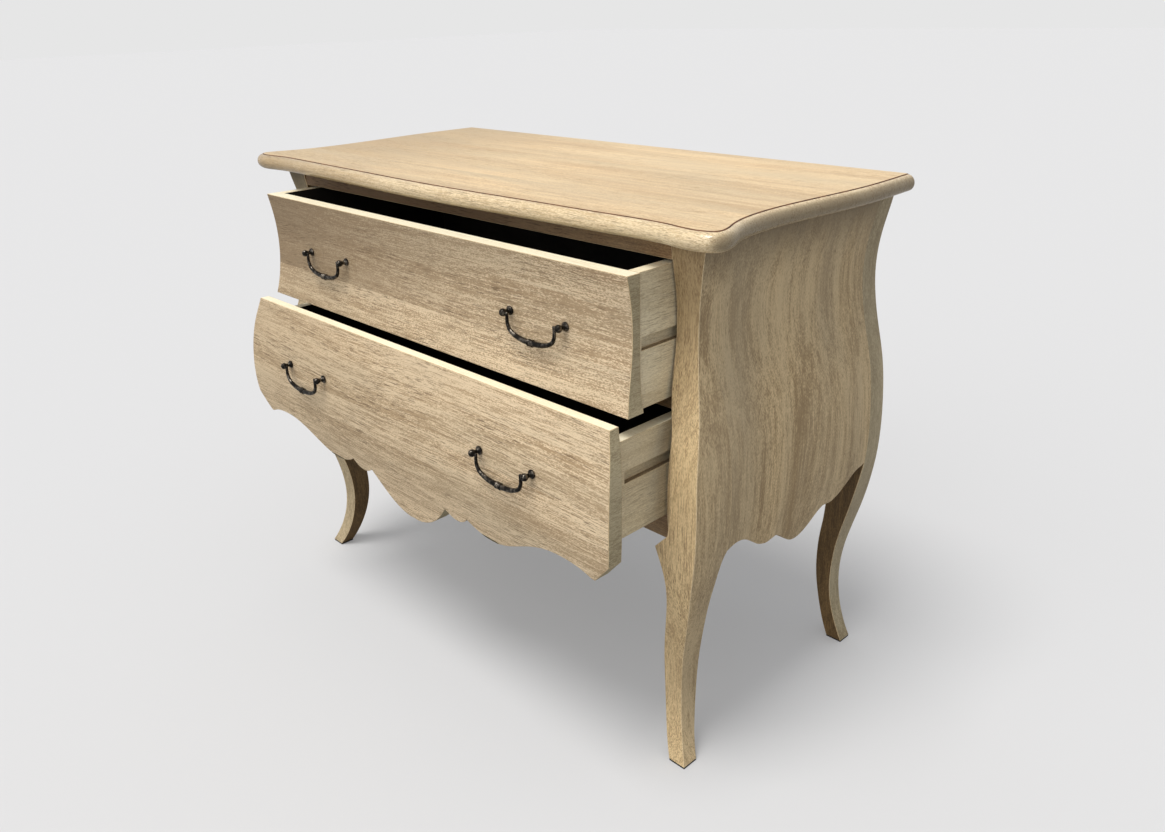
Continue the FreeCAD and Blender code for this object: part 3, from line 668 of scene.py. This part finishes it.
# %% Drawer rules
PULL_MIDDLE = 0.26  # from the middle of the chest to the middle of a pull
POST_OUT = 0.0544  # and from there to each of its posts
HOLE_REACH = 0.0026  # the wall of a screw hole lies this close to the middle of its post
GROOVE_INSET = 0.02  # the grooves lie at least this far from the top and bottom of a side


def drawer_rules(name):
    """The x of the box's inner wall, and which face of each of its boards gets which finish."""
    low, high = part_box(name + "_side_right")
    inside = low.x

    def front(centre, normal):
        if normal.z > SQUARE:
            return 2
        # Ends get the end-grain finish, undersides the same as painted shade.
        if abs(normal.x) > MOSTLY or normal.z < -0.4 and abs(normal.y) < 0.5:
            return 3
        return 1 if normal.y > 0.5 and abs(centre.x) < inside + 0.001 else 0

    def side(centre, normal):
        if normal.z > SQUARE and centre.z > high.z - 0.001:
            return 2
        if abs(normal.x) < SQUARE:
            # The walls of the groove get the darker finish, which is painted shade.
            far_in = low.z + GROOVE_INSET < centre.z < high.z - GROOVE_INSET
            return 3 if far_in and abs(normal.z) > SQUARE else 0
        return 1 if normal.x * centre.x < 0 else 0

    def rear(centre, normal):
        if normal.z > SQUARE:
            return 2
        return 1 if normal.y < -SQUARE else 0

    def floor(centre, normal):
        return 1 if normal.z > SQUARE else 0

    return inside, front, side, rear, floor


def front_skin(face):
    """The show side of a drawer front, and the walls of its screw holes."""
    if face.normal.y < -0.35:
        return True
    x = abs(face.calc_center_median().x)
    in_a_hole = abs(abs(x - PULL_MIDDLE) - POST_OUT) < HOLE_REACH
    return in_a_hole and abs(face.normal.y) < 0.02 and len(face.edges) < 9


print("posts at", [round(PULL_MIDDLE + way * POST_OUT, 4) for way in (-1, 1)])

# %% Drawers
for name, wood in (("upper_drawer", upper_wood), ("lower_drawer", lower_wood)):
    inside, front, side, rear, floor = drawer_rules(name)
    dress(name + "_front", "front_wood", [wood, inside_black, bare_edge, end_grain, worn_edge], front,
          cuts=(-inside, inside), skin=front_skin)
    for hand in ("right", "left"):
        dress(f"{name}_side_{hand}", "inner_wood", [box_wood, inside_black, bare_edge, painted_groove_shade, worn_edge],
              side, eased=0.0005)
    dress(name + "_back", "inner_wood", [box_back_wood, inside_black, bare_edge, worn_edge], rear,
          eased=0.0005)
    dress(name + "_bottom", "inner_wood", [box_back_wood, inside_black], floor, eased=0.0)
print("boards", len(boards))

# %% [markdown]
# ## Rods
# Pulls, nuts, screws and the line round the top are all round rods whose thickness changes on the way: a
# post is a short rod with a foot, a neck and a ball, a bail is a bent rod with two rings in its middle, a
# nut is a rod with six sides. They could be turned and bent by hand in edit mode. One small tree of
# Geometry Nodes does it from a line of points instead: it sweeps a ring along the line, and can set the rod
# down at many places.


# %% Rod tree
def rod_tree():
    """Lines, the number of sides, the places and the finish go in, and finished rods come out."""
    tree = bpy.data.node_groups.new("round_rods", "GeometryNodeTree")
    for name, kind in (("Lines", "Geometry"), ("Sides", "Int"), ("Places", "Object"), ("Finish", "Material")):
        tree.interface.new_socket(name, in_out="INPUT", socket_type="NodeSocket" + kind)
    tree.interface.new_socket("Rods", in_out="OUTPUT", socket_type="NodeSocketGeometry")
    given = tree.nodes.new("NodeGroupInput")
    lines, sides, places, finish = [Tone(tree, socket) for socket in given.outputs[:4]]
    thickness = lines.node("GeometryNodeInputNamedAttribute", {"data_type": "FLOAT"}, Name="thickness")
    path = lines.node("GeometryNodeMeshToCurve", Mesh=lines)
    ring = lines.node("GeometryNodeCurvePrimitiveCircle", Resolution=sides, Radius=1.0)
    rod = lines.node("GeometryNodeCurveToMesh", Curve=path, Profile_Curve=ring, Scale=thickness,
                     Fill_Caps=True)
    spots = lines.node("GeometryNodeObjectInfo", out="Geometry", Object=places)
    rods = lines.node("GeometryNodeInstanceOnPoints", Points=spots, Instance=rod)
    rods = lines.node("GeometryNodeRealizeInstances", Geometry=rods)
    rods = lines.node("GeometryNodeSetMaterial", Geometry=rods, Material=finish)
    tree.links.new(rods.socket, tree.nodes.new("NodeGroupOutput").inputs[0])
    return tree


round_rods = rod_tree()
print("rod tree", len(round_rods.nodes), "nodes")


# %% Rods from lines
def point_mesh(name, lines):
    """Lines of points as a mesh. A point is x, y, z and the thickness there, from the middle outwards."""
    mesh = bpy.data.meshes.new(name)
    points = [point for line in lines for point in line]
    edges, first = [], 0
    for line in lines:
        edges += [(first + k, first + k + 1) for k in range(len(line) - 1)]
        first += len(line)
    mesh.from_pydata([point[:3] for point in points], edges, [])
    mesh.attributes.new("thickness", "FLOAT", "POINT").data.foreach_set("value", [p[3] for p in points])
    return mesh


def closed_skin(mesh, smooth):
    """Merges the doubles of a swept rod, points its faces outwards and smooths it, but for sharper edges."""
    work = bmesh.new()
    work.from_mesh(mesh)
    bmesh.ops.remove_doubles(work, verts=work.verts, dist=HAIR)
    bmesh.ops.recalc_face_normals(work, faces=work.faces)
    work.to_mesh(mesh)
    work.free()
    for face in mesh.polygons:
        face.use_smooth = True
    mesh.set_sharp_from_angle(angle=math.radians(smooth))
    return mesh


def rods(name, lines, places, sides, finish, smooth=40):
    """The swept rods as a plain mesh."""
    where = bpy.data.objects.new(name + "_places", point_mesh(name + "_places", [[(*p, 0)] for p in places]))
    what = bpy.data.objects.new(name + "_lines", point_mesh(name + "_lines", lines))
    for helper in (where, what):
        bpy.context.scene.collection.objects.link(helper)
    sweep = what.modifiers.new("rods", "NODES")
    sweep.node_group = round_rods
    given = {item.name: item.identifier for item in round_rods.interface.items_tree if item.in_out == "INPUT"}
    sweep[given["Sides"]] = sides
    sweep[given["Places"]] = where
    sweep[given["Finish"]] = finish
    bpy.context.view_layer.update()
    mesh = bpy.data.meshes.new_from_object(what.evaluated_get(bpy.context.evaluated_depsgraph_get()))
    for helper in (what, where):
        bpy.data.objects.remove(helper)
    return closed_skin(mesh, smooth)


print("rod inputs", [item.name for item in round_rods.interface.items_tree if item.in_out == "INPUT"])

# %% [markdown]
# ## Pulls
# A pull is two cast posts and a bail that hangs between them on short pins. Behind the drawer front a nut
# holds each post. Posts of a drawer are one piece, because they never move apart, and each bail is a piece
# of its own, because it swings. Only the points where the outline changes are written down, in millimetres.

# %% Outlines of post, nut and bail
# Along the post from its foot on the wood: distance out, thickness. Its ball follows, in even turns.
foot_and_neck = [(0.0, 6.5), (1.5, 6.5), (1.9, 6.1), (3.2, 4.9), (4.2, 3.5), (5.2, 2.9), (6.6, 2.9),
                 (7.7, 3.3)]
ball_out, ball_size = 13.0, 5.5
ball_turns = [math.radians(degrees) for degrees in range(38, 175, 17)]
ball = [(ball_out - ball_size * math.cos(a), ball_size * math.sin(a)) for a in ball_turns]
ball_tip = [(ball_out + ball_size * 0.985, 0.9)]
post_steps = foot_and_neck + ball + ball_tip
# Along the nut towards the wood: distance from the shank's end, thickness.
nut_steps = [(3.9, 5.2), (3.1, 5.2), (3.0, 3.9), (1.1, 3.9)]
# Half of the bail from the top of its arm to the ring in the middle: sideways, down, thickness.
bail_arm = [(46.2, -2.1, 1.0), (46.2, -1.6, 1.75), (46.25, -0.4, 2.25), (46.5, 3, 2.3), (46.65, 8, 2.4),
            (46.0, 14, 2.6), (42.3, 21.2, 2.9), (36.6, 25.2, 3.15), (28.0, 28.4, 3.5), (17.2, 30.4, 3.85),
            (8.0, 31.2, 4.05)]
bail_ring = [(5.2, 31.4, 4.1), (4.6, 31.42, 5.0), (3.9, 31.44, 5.3), (3.0, 31.45, 5.1), (2.3, 31.46, 4.4),
             (1.5, 31.47, 4.3), (0.9, 31.48, 4.8), (0.0, 31.48, 4.95)]
print("points on a post", len(post_steps), "and on half a bail", len(bail_arm + bail_ring))


# %% Bent line
MM = 0.001


def smooth_line(points, steps):
    """Catmull-Rom line through the points, thickness included."""
    points = [points[0]] + points + [points[-1]]
    line = []
    for a, b, c, d in zip(points, points[1:], points[2:], points[3:]):
        for k in range(steps):
            t = k / steps
            line.append(tuple(0.5 * (2 * q + (r - p) * t + (2 * p - 5 * q + 4 * r - s) * t * t
                                     + (3 * q - p - 3 * r + s) * t ** 3) for p, q, r, s in zip(a, b, c, d)))
    return line + [points[-1]]


half = smooth_line(bail_arm, 4)[:-1] + bail_ring
whole = half + [(-x, down, size) for x, down, size in half[-2::-1]]
bent = [(x * MM, 0, -down * MM, size * MM) for x, down, size in whole]
pin_start, pin_end, pin_size = 45.0 * MM, 49.3 * MM, 2.0 * MM
pins = [[(way * pin_start, 0, 0, pin_size), (way * pin_end, 0, 0, pin_size)] for way in (1, -1)]
print("points on a bail", len(bent))

# %% Pulls
shank_size, shank_tip, tip_length = 2.0 * MM, 1.2 * MM, 0.6 * MM
for name in ("upper_drawer", "lower_drawer"):
    body = nodes[name + "_front"]["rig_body"]
    low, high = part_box(name + "_pull_posts")
    ball_y = low.y + ball_size * MM
    foot_y = ball_y + ball_out * MM
    pull_z = (low.z + high.z) / 2
    shank_end = high.y - foot_y
    shank = [(0, shank_end, 0, shank_tip), (0, shank_end - tip_length, 0, shank_size),
             (0, 0.2 * MM, 0, shank_size)]
    post = shank + [(0, -out * MM, 0, size * MM) for out, size in post_steps]
    nut = [(0, shank_end - y * MM, 0, size * MM) for y, size in nut_steps]
    places = [(x + way * POST_OUT, foot_y, pull_z) for x in (-PULL_MIDDLE, PULL_MIDDLE) for way in (-1, 1)]
    add_piece(name + "_posts", rods(name + "_posts", [post], places, 24, iron), body, "black_iron",
              name + "_pull_posts")
    add_piece(name + "_nuts", rods(name + "_nuts", [nut], places, 6, iron, smooth=25), body, "black_iron")
    for side, x in (("left", -PULL_MIDDLE), ("right", PULL_MIDDLE)):
        node = f"{name}_bail_{side}"
        mesh = rods(node + "_rod", [bent] + pins, [(x, ball_y, pull_z)], 16, iron)
        add_piece(node + "_rod", mesh, nodes[node]["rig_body"], "black_iron", node)
    print(name, "pulls at", round(ball_y, 4), round(pull_z, 4))

# %% [markdown]
# ## Back screws
# The back panel is screwed on all round its edge. Each screw shows only its domed head, so the head is a
# very short rod, and the same tree sets it down at every place. Copies could be placed by hand, but then
# they would not follow the panel's size.


# %% Back screws
def spaced(first, last, count):
    """Places from first to last, evenly apart."""
    return [first + (last - first) * k / (count - 1) for k in range(count)]


screw_inset = 0.014
low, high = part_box("back_panel")
columns = spaced(low.x + screw_inset, high.x - screw_inset, 7)
rows = spaced(low.z + screw_inset, high.z - screw_inset, 4)
places = [(x, high.y, z) for x in columns for z in (rows[0], rows[-1])]
places += [(x, high.y, z) for z in rows[1:-1] for x in (columns[0], columns[-1])]
# Out from the panel, in millimetres: distance, thickness.
head_steps = [(-0.5, 3.4), (0.2, 3.4), (0.9, 2.9), (1.3, 2.0), (1.4, 0.9)]
head = [(0, out * MM, 0, size * MM) for out, size in head_steps]
add_piece("back_screws", rods("back_screws", [head], places, 16, steel), nodes["back_panel"]["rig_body"],
          "black_iron")
print("screws", len(places))

# %% [markdown]
# ## Line round the top
# A narrow brown line, called a quirk, parts the field of the top from its rim, and its dark brown is painted
# shade in the small step there. It could be cut into the board, but a thin brown rod that is let into it
# looks the same and leaves the solid's shape alone. The rod follows the edge between the two finishes round
# the sides and the front.

# %% Border of the field
back_edge = max(v.co.y for v in top_piece.data.vertices)


def field_border(mesh):
    """The places where field and rim meet, in order from one back corner round the front to the other."""
    work = bmesh.new()
    work.from_mesh(mesh)
    beside = {}
    for edge in work.edges:
        fields = [f for f in edge.link_faces if f.material_index == 0]
        lowest, foremost = min(v.co.z for v in edge.verts), min(v.co.y for v in edge.verts)
        level, clear_of_back = lowest > field_level - 0.0002, foremost < back_edge - 0.0005
        if len(fields) == 1 and level and clear_of_back:
            one, other = [v.index for v in edge.verts]
            beside.setdefault(one, []).append(other)
            beside.setdefault(other, []).append(one)
    spot = {v.index: v.co.copy() for v in work.verts}
    work.free()
    line = [min((k for k in beside if len(beside[k]) == 1), key=lambda k: spot[k].x)]
    while len(line) == 1 or len(beside[line[-1]]) > 1:
        line.append([k for k in beside[line[-1]] if k not in line[-2:-1]][0])
    return [spot[k] for k in line]


border = field_border(top_piece.data)
print("border points", len(border))

# %% Line round the top
quirk_depth, quirk_size = 0.0022, 0.0021
end_room = 0.0006  # the ends of the rod stay this far inside the back edge
quirk = [(p.x, min(p.y, back_edge - end_room), field_level - quirk_depth, quirk_size) for p in border]
add_piece("quirk_line", rods("quirk_line", [quirk], [(0, 0, 0)], 10, quirk_brown),
          nodes["top_board"]["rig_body"], "top_wood")
print("quirk points", len(quirk))

# %% [markdown]
# ## Floor
# A pale floor that goes on for ever. The floor is darker for every ray but the camera's, so it throws less
# light up under the chest than a floor that pale would.

# %% Floor
bpy.ops.mesh.primitive_plane_add(size=60)
ground = bpy.context.object
ground.name = "floor"
paper, start, shader = new_finish("floor_paper")
by_camera = start.node("ShaderNodeLightPath", out="Is Camera Ray")
feed(start, shader, Base_Color=mixed(by_camera, linear(158, 158, 158), linear(189, 189, 190)), Roughness=0.9,
     Emission_Color=mixed(by_camera, linear(0, 0, 0), linear(105, 105, 106)), Emission_Strength=1.0,
     Specular_IOR_Level=0.0)
ground.data.materials.append(paper)
print("floor", ground.name, paper.name)

# %% [markdown]
# ## Light
# The light is a high soft ceiling a little to the left of the front, and a weaker, much softer low window
# nearly straight in front. Rows of area lamps would do too, but they fade with distance, and the floor
# would not stay even. Broad suns do not fade. The air adds some light from everywhere, and the camera sees
# a grey backdrop in its place.

# %% Air
world = bpy.data.worlds.new("studio")
bpy.context.scene.world = world
world.use_nodes = True
world.node_tree.nodes.clear()
sky = Tone(world.node_tree)
gloss = sky.node("ShaderNodeLightPath", out="Is Glossy Ray")
seen = sky.node("ShaderNodeLightPath", out="Is Camera Ray") + gloss * 0.45
air = sky.node("ShaderNodeBackground", Color=(0.97, 0.985, 1.0, 1.0), Strength=0.52)
backdrop = sky.node("ShaderNodeBackground", Color=linear(230, 230, 230), Strength=1.0)
both = sky.node("ShaderNodeMixShader", Fac=seen.held(), Shader=air, Shader_001=backdrop)
world.node_tree.links.new(both.socket, world.node_tree.nodes.new("ShaderNodeOutputWorld").inputs["Surface"])
print("world nodes", len(world.node_tree.nodes))


# %% Suns
def soft_sun(name, strength, height, swing, spread, colour):
    """A broad sun, in degrees: height above the floor, swing from the front towards the left, and spread."""
    data = bpy.data.lights.new(name, "SUN")
    data.energy = strength
    data.angle = math.radians(spread)
    data.color = colour
    lamp = bpy.data.objects.new(name, data)
    bpy.context.scene.collection.objects.link(lamp)
    a, e = math.radians(swing), math.radians(height)
    towards = Vector((-math.sin(a) * math.cos(e), -math.cos(a) * math.cos(e), math.sin(e)))
    lamp.rotation_mode = "QUATERNION"
    lamp.rotation_quaternion = towards.to_track_quat("Z", "Y")
    return lamp


soft_sun("ceiling", strength=2.2, height=71, swing=10, spread=27, colour=(1.0, 0.985, 0.96))
soft_sun("window", strength=0.85, height=30, swing=3, spread=60, colour=(1.0, 0.985, 0.955))
bpy.context.scene.view_settings.view_transform = "Standard"

# %% [markdown]
# ## Close the lesson
